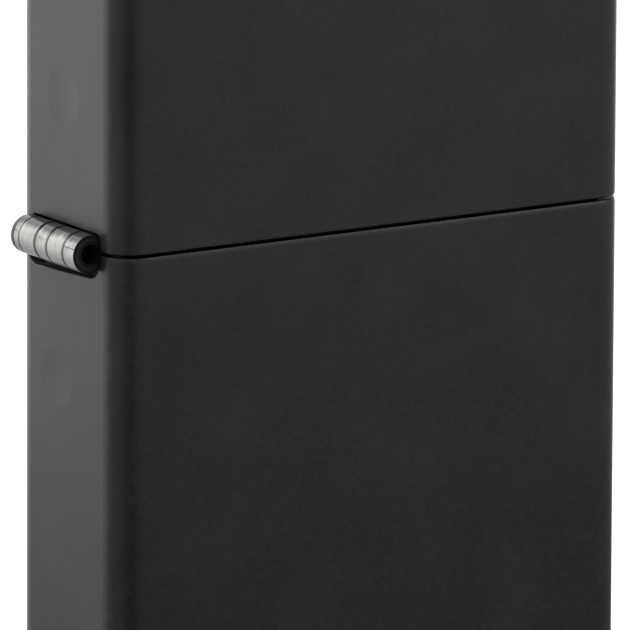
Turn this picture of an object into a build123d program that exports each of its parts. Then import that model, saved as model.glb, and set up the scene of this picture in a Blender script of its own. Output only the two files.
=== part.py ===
from build123d import *
import os
from math import atan2, cos, degrees, hypot, radians, sin, sqrt

# Flip-top windproof petrol lighter, closed, standing on its base.
# Millimetres. +Z is up, the front panel faces -Y and the lid's hinge is on the -X side.
# The case and lid are thin drawn shells; the insert inside the case carries the fuel
# packing, wick, wind screen, wheel and flint. The pieces are drawn about the middle of
# the case's base and saved about the middle of the whole lighter's, hinge included.

os.makedirs("parts", exist_ok=True)

# ---------------------------------------------------------------- driving dimensions
# Outer case and lid
BODY_W = 36.8  # width over the shells, without the hinge
BODY_D = 12.2  # depth
BODY_H = 57.0  # closed height
CORNER_R = 1.88  # upright corners
WALL = 0.65  # drawn brass sheet
SEAM_Z = 34.94  # middle of the gap between case and lid
SEAM_GAP = 0.18
BASE_EDGE_R = 0.9
LID_EDGE_R = 1.2
CROWN_RISE = 0.35  # how far the lid's top bulges over its width
BASE_RIM = 1.7  # width of the rim that the case stands on
BASE_RECESS = 0.35
CASE_LIP_R = 0.9  # each mouth draws in on an arc of this radius ...
CASE_LIP_H = 0.35  # ... over this height
LID_LIP_R = 0.2
LID_LIP_H = 0.12
LIP_STEPS = 5

# Hinge
AXIS_OUT = 0.58  # hinge axis outside the case's wall
AXIS_DROP = 0.04  # hinge axis below the middle of the gap
KNUCKLE_R = 1.2
PIN_R = 0.62
PIN_CLEARANCE = 0.03
PIN_RECESS = 0.9  # the pin ends this far inside the end knuckles
LEAF_T = 0.5
LEAF_LENGTH = 12.2  # from the axis to the free end of a leaf
LEAF_CORNER_R = 1.2
NECK_ANGLE = 38  # where the neck leaves the roll
# Knuckles from the front end to the back end, as (low y, high y).
CASE_KNUCKLES = [(-3.72, -2.50), (-0.41, 0.78), (2.79, 3.70)]
LID_KNUCKLES = [(-2.32, -0.59), (0.98, 2.70)]
KNUCKLE_EDGE_R = 0.05
ROLL_SEAM_ANGLE = 21  # the rolled sheet's closing line, above the outward direction
ROLL_SEAM_W = 0.05
BARREL_END_R = 0.06
# The walls are cut away around the barrel. A notch has two round corners, each given as
# (y, height from the middle of the gap, corner radius). Its edge is rolled in, through
# outlines given as (growth, depth below the wall's outer face).
CASE_NOTCH = [(-3.92, -1.64, 1.3), (4.6, -2.08, 0.9)]
CASE_NOTCH_ROLL = [(0.10, -0.03), (0.06, 0.01), (0.03, 0.04), (0.0, 0.09)]
LID_NOTCH = [(-3.92, 1.12, 0.5), (4.2, 1.12, 0.5)]
LID_NOTCH_ROLL = [(0.09, -0.03), (0.045, 0.015), (0.015, 0.045), (0.0, 0.10)]
WELD_D = 3.7  # shallow dents where the leaves are spot-welded
WELD_DEPTH = 0.055
CASE_WELD = (1.2, -8.6)  # (y, height from the middle of the gap)
LID_WELD = (0.45, 8.9)

# Insert
INSERT_X = 0.2  # the insert sits off centre, because the leaf takes room at -X
INSERT_W = 34.6
INSERT_D = 10.6
INSERT_R = 1.5
INSERT_WALL = 0.4
INSERT_BOTTOM_Z = 1.3
SHOULDER_Z = 37.2
SHOULDER_EDGE_R = 0.8

# Wind screen: a chimney with a pair of ears at each end, on a flange under the shoulder
SHEET = 0.4
CHIMNEY_X = -2.35
CHIMNEY_W = 14.5
CHIMNEY_D = 8.6
CHIMNEY_R = 2.2
CHIMNEY_TOP = 15.3  # above the shoulder
FLANGE_MARGIN = 0.9
HOLE_R = 1.0
HOLE_ROWS = [(12.5, 3), (9.5, 2), (6.5, 3)]  # (height above the shoulder, holes)
HOLE_PITCH = 3.7

# Wheel, its rivet and its ears
WHEEL_X = 8.6
WHEEL_UP = 5.6  # axle above the shoulder
WHEEL_R = 3.5
WHEEL_ROOT_R = 3.2
WHEEL_TEETH = 34
WHEEL_HALF_W = 2.15
WHEEL_HUB_R = 2.1
WHEEL_HUB_HALF_W = 2.65
WHEEL_EAR_IN = 2.75  # inner face of each ear
WHEEL_EAR_R = 2.6
WHEEL_RIVET_R = 0.95
RIVET_CLEARANCE = 0.05
WHEEL_RIVET_HEAD_R = 1.65

# Cam, its rivet, ears and spring
CAM_X = -12.33
CAM_UP = 2.9  # pivot above the shoulder
CAM_HUB_R = 2.0
CAM_FLAT = 1.75  # distance of the hub's flats from the pivot
CAM_HALF_W = 1.35
CAM_EAR_IN = 1.5
CAM_EAR_R = 2.3
CAM_RIVET_R = 0.7
CAM_RIVET_HEAD_R = 1.25
CAM_TIP_R = 0.7
CAM_TIP_CLOSED = (2.65, 11.74)  # tip's centre from the hinge axis, (x, z), lid closed
SPRING_T = 0.28
SPRING_HALF_W = 1.2
SPRING_CLEARANCE = 0.06
SPRING_RIVET_X = -7.4
HEAD_T = 0.45

# Flint feed
TUBE_R = 1.75
TUBE_BORE_R = 1.35
TUBE_TOP_UP = 1.7  # above the shoulder
FLINT_R = 1.27
FLINT_LENGTH = 5.0
FLINT_GAP = 0.05  # between flint and wheel
PLUG_R = 1.15
PLUG_HEAD = 0.9
PLUG_STEM_R = 0.55
PLUG_STEM = 1.8
COIL_R = 0.86
COIL_WIRE_R = 0.17
COIL_PITCH = 1.55
SCREW_HEAD_R = 2.45
SCREW_HEAD_T = 0.9
SCREW_BOTTOM_Z = 1.15
SCREW_SHANK_R = 1.33
SCREW_SHANK = 4.2
SCREW_PIP_R = 0.6
SCREW_SLOT_W = 0.7
SCREW_SLOT_D = 0.5

# Fuel packing
WICK_X = -2.35
WICK_R = 1.55
WICK_UP = 7.4  # wick's top above the shoulder
WICK_WIRE_R = 0.2
WICK_WIRE_LENGTH = 16.0
FELT_T = 2.0
FELT_Z = 1.7
FILL_HOLE_R = 1.5
FILL_HOLE_X = -6.0
PACK_GAP = 0.25  # room between the packing's pieces and what is beside them

# ---------------------------------------------------------------- worked-out places
CASE_TOP = SEAM_Z - SEAM_GAP / 2
LID_BOTTOM = SEAM_Z + SEAM_GAP / 2
AXIS_X = -BODY_W / 2 - AXIS_OUT
AXIS_Z = SEAM_Z - AXIS_DROP
WALL_INNER = AXIS_OUT + WALL  # from the hinge axis to the wall's inner face
LEAF_W = CASE_KNUCKLES[-1][1] - CASE_KNUCKLES[0][0]
LEAF_Y = (CASE_KNUCKLES[-1][1] + CASE_KNUCKLES[0][0]) / 2
FLANGE_Z = SHOULDER_Z - 2 * SHEET
SCREEN_BASE_Z = FLANGE_Z + SHEET  # top of the flange, where the chimney's walls start
WHEEL_Z = SHOULDER_Z + WHEEL_UP
CAM_Z = SHOULDER_Z + CAM_UP
CHIMNEY_LEFT = CHIMNEY_X - CHIMNEY_W / 2
CHIMNEY_RIGHT = CHIMNEY_X + CHIMNEY_W / 2
TUBE_TOP = SHOULDER_Z + TUBE_TOP_UP
TUBE_BOTTOM = SCREW_BOTTOM_Z + SCREW_HEAD_T
FLINT_TOP = WHEEL_Z - WHEEL_R + 0.4  # before its end is hollowed to the wheel's curve
FLINT_BOTTOM = FLINT_TOP - FLINT_LENGTH
ORIGIN_SHIFT = (AXIS_OUT + KNUCKLE_R) / 2  # half of what the barrel adds to the width


def save(piece, name):
    """Moves a finished sub-part into the lighter's own frame, labels it and writes it
    as its own STEP file."""
    piece.part.locate(Location((ORIGIN_SHIFT, 0, 0)))
    piece.part.label = name
    export_step(piece.part, f"parts/{name}.step")


def side_plane(y):
    """The upright plane parallel to the front panel at this y, with local x along +X
    and local y along +Z, whose extrusions run towards -Y."""
    return Plane.XZ.offset(-y)


def notch(corners, roll, open_z):
    """Cuts the hinge-side wall away around the barrel, between two round corners, from
    their heights to past the mouth at open_z. The cut's outer edge is rolled in."""
    (low_y, low_h, low_r), (high_y, high_h, high_r) = corners
    up = 1 if open_z > SEAM_Z + low_h else -1
    outlines = []
    for grow, depth in roll:
        ends = [
            (low_y - grow, SEAM_Z + low_h - up * grow),
            (high_y + grow, SEAM_Z + high_h - up * grow),
        ]
        with BuildSketch(Plane.YZ.offset(depth - BODY_W / 2)) as outline:
            with BuildLine():
                Polyline(ends[0], ends[1], (ends[1][0], open_z), (ends[0][0], open_z), close=True)
            make_face()
            for end, radius in zip(ends, (low_r, high_r)):
                corner = outline.vertices().sort_by_distance((*end, 0))[0]
                fillet(corner, radius + grow)
        outlines.append(outline.sketch)
    extrude(outlines[-1], amount=CORNER_R, mode=Mode.SUBTRACT)
    for wide, narrow in zip(outlines, outlines[1:]):
        loft([wide, narrow], ruled=True, mode=Mode.SUBTRACT)


def lip(mouth_z, toward, arc_r, height):
    """Adds the last stretch of a shell's outside, up to its mouth, drawn in on an arc.
    toward is 1 where the mouth is above the wall and -1 where it is below."""
    sections = []
    for i in range(LIP_STEPS + 1):
        rise = height * i / LIP_STEPS
        inward = arc_r - sqrt(arc_r**2 - rise**2)
        with BuildSketch(Plane.XY.offset(mouth_z - toward * (height - rise))) as section:
            RectangleRounded(BODY_W - 2 * inward, BODY_D - 2 * inward, CORNER_R - inward)
        sections.append(section.sketch)
    loft(sections if toward > 0 else sections[::-1], ruled=True)


def weld_dent(place):
    """Presses a shallow round dent into the hinge-side wall's outer face."""
    half = WELD_D / 2
    ball_r = (half**2 + WELD_DEPTH**2) / (2 * WELD_DEPTH)
    with Locations((-BODY_W / 2 - ball_r + WELD_DEPTH, place[0], SEAM_Z + place[1])):
        Sphere(ball_r, mode=Mode.SUBTRACT)


# ---------------------------------------------------------------- case and lid shells
with BuildPart() as case_bottom:
    with BuildSketch():
        RectangleRounded(BODY_W, BODY_D, CORNER_R)
    extrude(amount=CASE_TOP - CASE_LIP_H)
    fillet(case_bottom.faces().sort_by(Axis.Z)[0].edges(), BASE_EDGE_R)
    lip(CASE_TOP, 1, CASE_LIP_R, CASE_LIP_H)
    with BuildSketch(Plane.XY.offset(WALL + BASE_RECESS)):
        RectangleRounded(BODY_W - 2 * WALL, BODY_D - 2 * WALL, CORNER_R - WALL)
    extrude(amount=CASE_TOP, mode=Mode.SUBTRACT)
    with BuildSketch():
        RectangleRounded(BODY_W - 2 * BASE_RIM, BODY_D - 2 * BASE_RIM, CORNER_R)
    extrude(amount=BASE_RECESS, mode=Mode.SUBTRACT)
    notch(CASE_NOTCH, CASE_NOTCH_ROLL, CASE_TOP + 1)
    weld_dent(CASE_WELD)
save(case_bottom, "case_bottom")

with BuildPart() as lid_shell:
    with BuildSketch(Plane.XY.offset(LID_BOTTOM + LID_LIP_H)):
        RectangleRounded(BODY_W, BODY_D, CORNER_R)
    extrude(amount=BODY_H - LID_BOTTOM - LID_LIP_H)
    crown_r = ((BODY_W / 2) ** 2 + CROWN_RISE**2) / (2 * CROWN_RISE)
    with Locations((0, 0, BODY_H - crown_r)):
        Cylinder(crown_r, 2 * BODY_D, rotation=(90, 0, 0), mode=Mode.INTERSECT)
    fillet(lid_shell.faces().sort_by(Axis.Z)[-1].edges(), LID_EDGE_R)
    lip(LID_BOTTOM, -1, LID_LIP_R, LID_LIP_H)
    with BuildSketch(Plane.XY.offset(LID_BOTTOM - 1)):
        RectangleRounded(BODY_W - 2 * WALL, BODY_D - 2 * WALL, CORNER_R - WALL)
    extrude(amount=BODY_H - CROWN_RISE - WALL - LID_BOTTOM + 1, mode=Mode.SUBTRACT)
    notch(LID_NOTCH, LID_NOTCH_ROLL, LID_BOTTOM - 1)
    weld_dent(LID_WELD)
save(lid_shell, "lid_shell")


# ---------------------------------------------------------------- hinge
def hinge_leaf(knuckles, bore_r, up, jog_start, jog_end):
    """One leaf of the barrel hinge: rolled knuckles, the necks that step in behind the
    wall, and the plate that is welded to the wall's inner face. up is 1 for the lid's
    leaf and -1 for the case's. Added to the part being built."""
    inner = AXIS_X + WALL_INNER + LEAF_T
    outer = AXIS_X + WALL_INNER
    root_x = AXIS_X + KNUCKLE_R * cos(radians(NECK_ANGLE))
    root_z = AXIS_Z + up * KNUCKLE_R * sin(radians(NECK_ANGLE))
    for low, high in knuckles:
        with Locations((AXIS_X, (low + high) / 2, AXIS_Z)):
            Cylinder(KNUCKLE_R, high - low, rotation=(90, 0, 0))
        for ring in edges(Select.LAST).filter_by(GeomType.CIRCLE):
            at_end = abs(ring.center().Y - LEAF_Y) > LEAF_W / 2 - 0.01
            fillet(ring, BARREL_END_R if at_end else KNUCKLE_EDGE_R)
    for low, high in knuckles:
        with BuildSketch(side_plane(high)) as neck:
            with BuildLine():
                Polyline(
                    (AXIS_X + PIN_R / 2, AXIS_Z),
                    (AXIS_X + KNUCKLE_R - BARREL_END_R, AXIS_Z),
                    (inner, AXIS_Z + up * jog_start),
                    (inner, AXIS_Z + up * (jog_end + LEAF_T)),
                    (outer, AXIS_Z + up * (jog_end + LEAF_T)),
                    (outer, AXIS_Z + up * jog_end),
                    (root_x, root_z),
                    close=True,
                )
            make_face()
        extrude(neck.sketch, amount=high - low)
    with BuildSketch(side_plane(LEAF_Y + LEAF_W)) as bore:
        with Locations((AXIS_X, AXIS_Z)):
            Circle(bore_r)
    extrude(bore.sketch, amount=2 * LEAF_W, mode=Mode.SUBTRACT)
    if up < 0:
        seam = Location((AXIS_X, LEAF_Y, AXIS_Z), (0, ROLL_SEAM_ANGLE, 0))
        with Locations(seam * Location((-KNUCKLE_R, 0, 0))):
            Box(2 * ROLL_SEAM_W, LEAF_W, ROLL_SEAM_W, mode=Mode.SUBTRACT)
    plate_h = LEAF_LENGTH - jog_end
    with BuildSketch(Plane.YZ.offset(outer)) as plate:
        with Locations((LEAF_Y, AXIS_Z + up * (jog_end + plate_h / 2))):
            Rectangle(LEAF_W, plate_h)
        fillet(plate.vertices().group_by(Axis.Y)[-1 if up > 0 else 0], LEAF_CORNER_R)
    extrude(plate.sketch, amount=LEAF_T)


CASE_JOG_END = 1.0
LID_JOG_END = 1.05

with BuildPart() as case_hinge_leaf:
    hinge_leaf(CASE_KNUCKLES, PIN_R, -1, CASE_JOG_END - 0.45, CASE_JOG_END)
save(case_hinge_leaf, "case_hinge_leaf")

with BuildPart() as lid_hinge_leaf:
    hinge_leaf(LID_KNUCKLES, PIN_R + PIN_CLEARANCE, 1, LID_JOG_END - 0.45, LID_JOG_END)
save(lid_hinge_leaf, "lid_hinge_leaf")

with BuildPart() as hinge_pin:
    with BuildSketch(side_plane(CASE_KNUCKLES[-1][1] - PIN_RECESS)):
        with Locations((AXIS_X, AXIS_Z)):
            Circle(PIN_R)
    extrude(amount=LEAF_W - 2 * PIN_RECESS)
    chamfer(hinge_pin.edges().filter_by(GeomType.CIRCLE), 0.12)
save(hinge_pin, "hinge_pin")

# ---------------------------------------------------------------- insert shell
with BuildPart() as insert_shell:
    with BuildSketch(Plane.XY.offset(INSERT_BOTTOM_Z)):
        with Locations((INSERT_X, 0)):
            RectangleRounded(INSERT_W, INSERT_D, INSERT_R)
    extrude(amount=SHOULDER_Z - INSERT_BOTTOM_Z)
    fillet(insert_shell.faces().sort_by(Axis.Z)[-1].edges(), SHOULDER_EDGE_R)
    with BuildSketch(Plane.XY.offset(INSERT_BOTTOM_Z - 1)):
        with Locations((INSERT_X, 0)):
            RectangleRounded(
                INSERT_W - 2 * INSERT_WALL,
                INSERT_D - 2 * INSERT_WALL,
                INSERT_R - INSERT_WALL,
            )
    extrude(amount=SCREEN_BASE_Z - INSERT_BOTTOM_Z + 1, mode=Mode.SUBTRACT)
    # The chimney and both pairs of ears stand up through one opening in the shoulder.
    with BuildSketch(Plane.XY.offset(SCREEN_BASE_Z - 1)):
        with Locations((CHIMNEY_X, 0)):
            RectangleRounded(CHIMNEY_W, CHIMNEY_D, CHIMNEY_R)
        wheel_end = WHEEL_X + WHEEL_EAR_R
        with Locations(((CHIMNEY_X + wheel_end) / 2, 0)):
            Rectangle(wheel_end - CHIMNEY_X, 2 * (WHEEL_EAR_IN + SHEET))
        cam_end = CAM_X - CAM_EAR_R
        with Locations(((CHIMNEY_X + cam_end) / 2, 0)):
            Rectangle(CHIMNEY_X - cam_end, 2 * (CAM_EAR_IN + SHEET))
    extrude(amount=3, mode=Mode.SUBTRACT)
save(insert_shell, "insert_shell")


# ---------------------------------------------------------------- wind screen
def ear_pair(inner_y, pivot_x, pivot_z, round_r, wall_x, bore_r):
    """Two equal upright plates, one each side of the middle plane, with their inner
    faces at inner_y from it. Each joins the chimney at wall_x and is round over its
    pivot hole on the other side."""
    side = 1 if pivot_x > wall_x else -1
    free_x = pivot_x + side * round_r
    for plate_y in (-inner_y, inner_y + SHEET):
        with BuildSketch(side_plane(plate_y)) as plate:
            with BuildLine():
                Polyline(
                    (pivot_x, pivot_z + round_r),
                    (wall_x, pivot_z + round_r),
                    (wall_x, SCREEN_BASE_Z),
                    (free_x, SCREEN_BASE_Z),
                    (free_x, pivot_z),
                )
                RadiusArc(
                    (free_x, pivot_z), (pivot_x, pivot_z + round_r), -side * round_r
                )
            make_face()
            with Locations((pivot_x, pivot_z)):
                Circle(bore_r, mode=Mode.SUBTRACT)
        extrude(plate.sketch, amount=SHEET)


SPARK_WINDOW_TOP = WHEEL_Z + WHEEL_EAR_R - 0.6
SPRING_TOP = CAM_Z - CAM_HUB_R - SPRING_CLEARANCE

with BuildPart() as windscreen:
    with BuildSketch(Plane.XY.offset(FLANGE_Z)):
        flange_left = CAM_X - CAM_EAR_R - FLANGE_MARGIN
        flange_right = WHEEL_X + WHEEL_EAR_R + FLANGE_MARGIN
        with Locations(((flange_left + flange_right) / 2, 0)):
            RectangleRounded(flange_right - flange_left, CHIMNEY_D + FLANGE_MARGIN, 1.0)
    extrude(amount=SHEET)
    with BuildSketch(Plane.XY.offset(SCREEN_BASE_Z)):
        with Locations((CHIMNEY_X, 0)):
            RectangleRounded(CHIMNEY_W, CHIMNEY_D, CHIMNEY_R)
            RectangleRounded(
                CHIMNEY_W - 2 * SHEET,
                CHIMNEY_D - 2 * SHEET,
                CHIMNEY_R - SHEET,
                mode=Mode.SUBTRACT,
            )
    extrude(amount=SHOULDER_Z + CHIMNEY_TOP - SCREEN_BASE_Z)
    fillet(windscreen.faces().sort_by(Axis.Z)[-1].edges(), 0.12)
    right_wall_x = CHIMNEY_RIGHT - 1.2 * SHEET
    ear_pair(WHEEL_EAR_IN, WHEEL_X, WHEEL_Z, WHEEL_EAR_R, right_wall_x, WHEEL_RIVET_R)
    left_wall_x = CHIMNEY_LEFT + 1.2 * SHEET
    ear_pair(CAM_EAR_IN, CAM_X, CAM_Z, CAM_EAR_R, left_wall_x, CAM_RIVET_R)
    # The spark window between the wheel's ears, and the cam spring's slot.
    with BuildSketch(Plane.YZ.offset(CHIMNEY_RIGHT - 2 * SHEET)):
        with Locations((0, (SPARK_WINDOW_TOP + SCREEN_BASE_Z) / 2)):
            Rectangle(2 * WHEEL_EAR_IN, SPARK_WINDOW_TOP - SCREEN_BASE_Z)
    extrude(amount=3 * SHEET, mode=Mode.SUBTRACT)
    with BuildSketch(Plane.YZ.offset(CHIMNEY_LEFT - SHEET)):
        with Locations((0, (SPRING_TOP + 0.2 + SCREEN_BASE_Z) / 2)):
            Rectangle(2 * CAM_EAR_IN, SPRING_TOP + 0.2 - SCREEN_BASE_Z)
    extrude(amount=3 * SHEET, mode=Mode.SUBTRACT)
    # Air holes through the front and back of the chimney.
    with BuildSketch(side_plane(BODY_D)):
        for height, count in HOLE_ROWS:
            with Locations((CHIMNEY_X, SHOULDER_Z + height)):
                with GridLocations(HOLE_PITCH, 1, count, 1):
                    Circle(HOLE_R)
    extrude(amount=2 * BODY_D, mode=Mode.SUBTRACT)
    # Wick, flint tube and spring rivet pass through the flange.
    with BuildSketch(Plane.XY.offset(FLANGE_Z)):
        with Locations((WICK_X, 0)):
            Circle(WICK_R)
        with Locations((WHEEL_X, 0)):
            Circle(TUBE_R)
        with Locations((SPRING_RIVET_X, 0)):
            Circle(CAM_RIVET_R)
    extrude(amount=SHEET, mode=Mode.SUBTRACT)
save(windscreen, "windscreen")


# ---------------------------------------------------------------- wheel and cam
def cross_rivet(x, z, shank_r, head_r, ear_in):
    """A tubular rivet across a pair of ears, with a domed head outside each ear."""
    ear_out = ear_in + SHEET
    with BuildSketch(side_plane(ear_out)) as shank:
        with Locations((x, z)):
            Circle(shank_r)
    extrude(shank.sketch, amount=2 * ear_out)
    for head_y in (-ear_out, ear_out + HEAD_T):
        with BuildSketch(side_plane(head_y)) as head:
            with Locations((x, z)):
                Circle(head_r)
        extrude(head.sketch, amount=HEAD_T)


with BuildPart() as wheel_rivet:
    cross_rivet(WHEEL_X, WHEEL_Z, WHEEL_RIVET_R, WHEEL_RIVET_HEAD_R, WHEEL_EAR_IN)
    ends = wheel_rivet.faces().filter_by(Axis.Y).sort_by(Axis.Y)
    fillet(ends[0].edges() + ends[-1].edges(), 0.3)
    with BuildSketch(side_plane(BODY_D)):
        with Locations((WHEEL_X, WHEEL_Z)):
            Circle(WHEEL_RIVET_R * 0.55)
    extrude(amount=2 * BODY_D, mode=Mode.SUBTRACT)
save(wheel_rivet, "wheel_rivet")

with BuildPart() as cam_rivet:
    cross_rivet(CAM_X, CAM_Z, CAM_RIVET_R, CAM_RIVET_HEAD_R, CAM_EAR_IN)
    ends = cam_rivet.faces().filter_by(Axis.Y).sort_by(Axis.Y)
    fillet(ends[0].edges() + ends[-1].edges(), 0.3)
save(cam_rivet, "cam_rivet")

with BuildPart() as flint_wheel:
    step = radians(360 / WHEEL_TEETH)
    teeth = []
    for i in range(WHEEL_TEETH):
        # A saw tooth: a steep face up to the tip, then a long slope down to the root.
        for radius, turn in ((WHEEL_R, i * step), (WHEEL_ROOT_R, (i + 0.75) * step)):
            teeth.append((WHEEL_X + radius * cos(turn), WHEEL_Z + radius * sin(turn)))
    with BuildSketch(side_plane(WHEEL_HALF_W)):
        with BuildLine():
            Polyline(*teeth, close=True)
        make_face()
    extrude(amount=2 * WHEEL_HALF_W)
    with BuildSketch(side_plane(WHEEL_HUB_HALF_W)):
        with Locations((WHEEL_X, WHEEL_Z)):
            Circle(WHEEL_HUB_R)
    extrude(amount=2 * WHEEL_HUB_HALF_W)
    with BuildSketch(side_plane(BODY_D)):
        with Locations((WHEEL_X, WHEEL_Z)):
            Circle(WHEEL_RIVET_R + RIVET_CLEARANCE)
    extrude(amount=2 * BODY_D, mode=Mode.SUBTRACT)
save(flint_wheel, "flint_wheel")

# The cam's finger runs from the pivot to a round tip that lies against the lid's leaf.
tip_dx = AXIS_X + CAM_TIP_CLOSED[0] - CAM_X
tip_dz = AXIS_Z + CAM_TIP_CLOSED[1] - CAM_Z
finger_length = hypot(tip_dx, tip_dz)
finger_angle = degrees(atan2(tip_dz, tip_dx))

with BuildPart() as cam_lever:
    with BuildSketch(side_plane(CAM_HALF_W)):
        with Locations(Location((CAM_X, CAM_Z, 0), (0, 0, finger_angle))):
            Circle(CAM_HUB_R)
            # Two flats on the heel, one for each rest position of the lid.
            for turn in (75, 155):
                with Locations(Location((0, 0, 0), (0, 0, turn))):
                    with Locations((CAM_FLAT + 1, 0)):
                        Rectangle(2, 2 * CAM_HUB_R, mode=Mode.SUBTRACT)
        with BuildSketch(mode=Mode.PRIVATE) as finger:
            with Locations((0, 0)):
                Circle(1.55)
            with Locations((0.52 * finger_length, -0.55)):
                Circle(1.05)
            make_hull()
        with BuildSketch(mode=Mode.PRIVATE) as fingertip:
            with Locations((0.52 * finger_length, -0.55)):
                Circle(1.05)
            with Locations((finger_length, 0)):
                Circle(CAM_TIP_R)
            make_hull()
        with Locations(Location((CAM_X, CAM_Z, 0), (0, 0, finger_angle))):
            add(finger.sketch)
            add(fingertip.sketch)
        with Locations((CAM_X, CAM_Z)):
            Circle(CAM_RIVET_R + RIVET_CLEARANCE, mode=Mode.SUBTRACT)
    extrude(amount=2 * CAM_HALF_W)
save(cam_lever, "cam_lever")

with BuildPart() as cam_spring:
    spring_base = SCREEN_BASE_Z
    with BuildSketch(side_plane(SPRING_HALF_W)):
        with BuildLine():
            low_left = (CAM_X - 2.2, SPRING_TOP - SPRING_T)
            under_hub = (CAM_X + 1.4, SPRING_TOP - SPRING_T)
            foot = (CHIMNEY_LEFT + 0.9, spring_base)
            end = (SPRING_RIVET_X + 1.3, spring_base)
            Polyline(
                low_left,
                under_hub,
                foot,
                end,
                (end[0], end[1] + SPRING_T),
                (foot[0], foot[1] + SPRING_T),
                (under_hub[0], SPRING_TOP),
                (low_left[0], SPRING_TOP),
                close=True,
            )
        make_face()
    extrude(amount=2 * SPRING_HALF_W)
    with BuildSketch(Plane.XY.offset(FLANGE_Z)):
        with Locations((SPRING_RIVET_X, 0)):
            Circle(CAM_RIVET_R)
    extrude(amount=2, mode=Mode.SUBTRACT)
save(cam_spring, "cam_spring")

with BuildPart() as cam_spring_rivet:
    with BuildSketch(Plane.XY.offset(FLANGE_Z)):
        with Locations((SPRING_RIVET_X, 0)):
            Circle(CAM_RIVET_R)
    extrude(amount=SHEET + SPRING_T + 0.1)
    for head_z in (FLANGE_Z - HEAD_T, SCREEN_BASE_Z + SPRING_T):
        with BuildSketch(Plane.XY.offset(head_z)):
            with Locations((SPRING_RIVET_X, 0)):
                Circle(1.1)
        extrude(amount=HEAD_T)
    fillet(cam_spring_rivet.faces().sort_by(Axis.Z)[-1].edges(), 0.3)
save(cam_spring_rivet, "cam_spring_rivet")

# ---------------------------------------------------------------- flint feed
with BuildPart() as flint_tube:
    with BuildSketch(Plane.XY.offset(TUBE_BOTTOM)):
        with Locations((WHEEL_X, 0)):
            Circle(TUBE_R)
            Circle(TUBE_BORE_R, mode=Mode.SUBTRACT)
    extrude(amount=TUBE_TOP - TUBE_BOTTOM)
    chamfer(flint_tube.faces().sort_by(Axis.Z)[-1].edges(), 0.1)
save(flint_tube, "flint_tube")

with BuildPart() as flint:
    with BuildSketch(Plane.XY.offset(FLINT_BOTTOM)):
        with Locations((WHEEL_X, 0)):
            Circle(FLINT_R)
    extrude(amount=FLINT_LENGTH)
    with BuildSketch(side_plane(BODY_D)):
        with Locations((WHEEL_X, WHEEL_Z)):
            Circle(WHEEL_R + FLINT_GAP)
    extrude(amount=2 * BODY_D, mode=Mode.SUBTRACT)
save(flint, "flint")

with BuildPart() as flint_plug:
    with BuildSketch(Plane.XY.offset(FLINT_BOTTOM - PLUG_HEAD)):
        with Locations((WHEEL_X, 0)):
            Circle(PLUG_R)
    extrude(amount=PLUG_HEAD)
    with BuildSketch(Plane.XY.offset(FLINT_BOTTOM - PLUG_HEAD - PLUG_STEM)):
        with Locations((WHEEL_X, 0)):
            Circle(PLUG_STEM_R)
    extrude(amount=PLUG_STEM)
save(flint_plug, "flint_plug")

with BuildPart() as flint_screw:
    with BuildSketch(Plane.XY.offset(SCREW_BOTTOM_Z)):
        with Locations((WHEEL_X, 0)):
            Circle(SCREW_HEAD_R)
    extrude(amount=SCREW_HEAD_T)
    chamfer(flint_screw.edges().filter_by(GeomType.CIRCLE), 0.15)
    with BuildSketch(Plane.XY.offset(TUBE_BOTTOM)):
        with Locations((WHEEL_X, 0)):
            Circle(SCREW_SHANK_R)
    extrude(amount=SCREW_SHANK)
    with BuildSketch(Plane.XY.offset(TUBE_BOTTOM + SCREW_SHANK)):
        with Locations((WHEEL_X, 0)):
            Circle(SCREW_PIP_R)
    extrude(amount=1.2)
    with BuildSketch(Plane.XY.offset(SCREW_BOTTOM_Z)):
        with Locations((WHEEL_X, 0)):
            Rectangle(2 * SCREW_HEAD_R, SCREW_SLOT_W)
    extrude(amount=SCREW_SLOT_D, mode=Mode.SUBTRACT)
save(flint_screw, "flint_screw")

COIL_BOTTOM = TUBE_BOTTOM + SCREW_SHANK + COIL_WIRE_R + 0.02
COIL_TOP = FLINT_BOTTOM - PLUG_HEAD - COIL_WIRE_R - 0.02

with BuildPart() as flint_spring:
    with BuildLine():
        coil = Helix(
            pitch=COIL_PITCH,
            height=COIL_TOP - COIL_BOTTOM,
            radius=COIL_R,
            center=(WHEEL_X, 0, COIL_BOTTOM),
        )
    with BuildSketch(Plane(origin=coil @ 0, z_dir=coil % 0)):
        Circle(COIL_WIRE_R)
    sweep(path=coil, is_frenet=True)
save(flint_spring, "flint_spring")

# ---------------------------------------------------------------- wick and packing
WICK_TOP = SHOULDER_Z + WICK_UP
FELT_TOP = FELT_Z + FELT_T
TANK_LEFT = INSERT_X - INSERT_W / 2 + INSERT_WALL
TANK_RIGHT = INSERT_X + INSERT_W / 2 - INSERT_WALL
TANK_HALF_D = INSERT_D / 2 - INSERT_WALL
TANK_TOP = FLANGE_Z - HEAD_T

with BuildPart() as wick:
    with BuildLine():
        # Down from the chimney, then a gentle S between the wads to the tank's floor.
        route = FilletPolyline(
            (WICK_X, 0, WICK_TOP),
            (WICK_X, 0, 30.0),
            (WICK_X - 2.2, 0, 21.0),
            (WICK_X + 1.8, 0, 12.0),
            (WICK_X + 0.6, 0, FELT_TOP + PACK_GAP),
            radius=12.0,
        )
    with BuildSketch(Plane.XY.offset(WICK_TOP)):
        with Locations((WICK_X, 0)):
            Circle(WICK_R)
    sweep(path=route)
    with BuildSketch(Plane.XY.offset(WICK_TOP - WICK_WIRE_LENGTH / 2)):
        with Locations((WICK_X, 0)):
            Circle(WICK_WIRE_R)
    extrude(amount=WICK_WIRE_LENGTH, mode=Mode.SUBTRACT)
save(wick, "wick")

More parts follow.
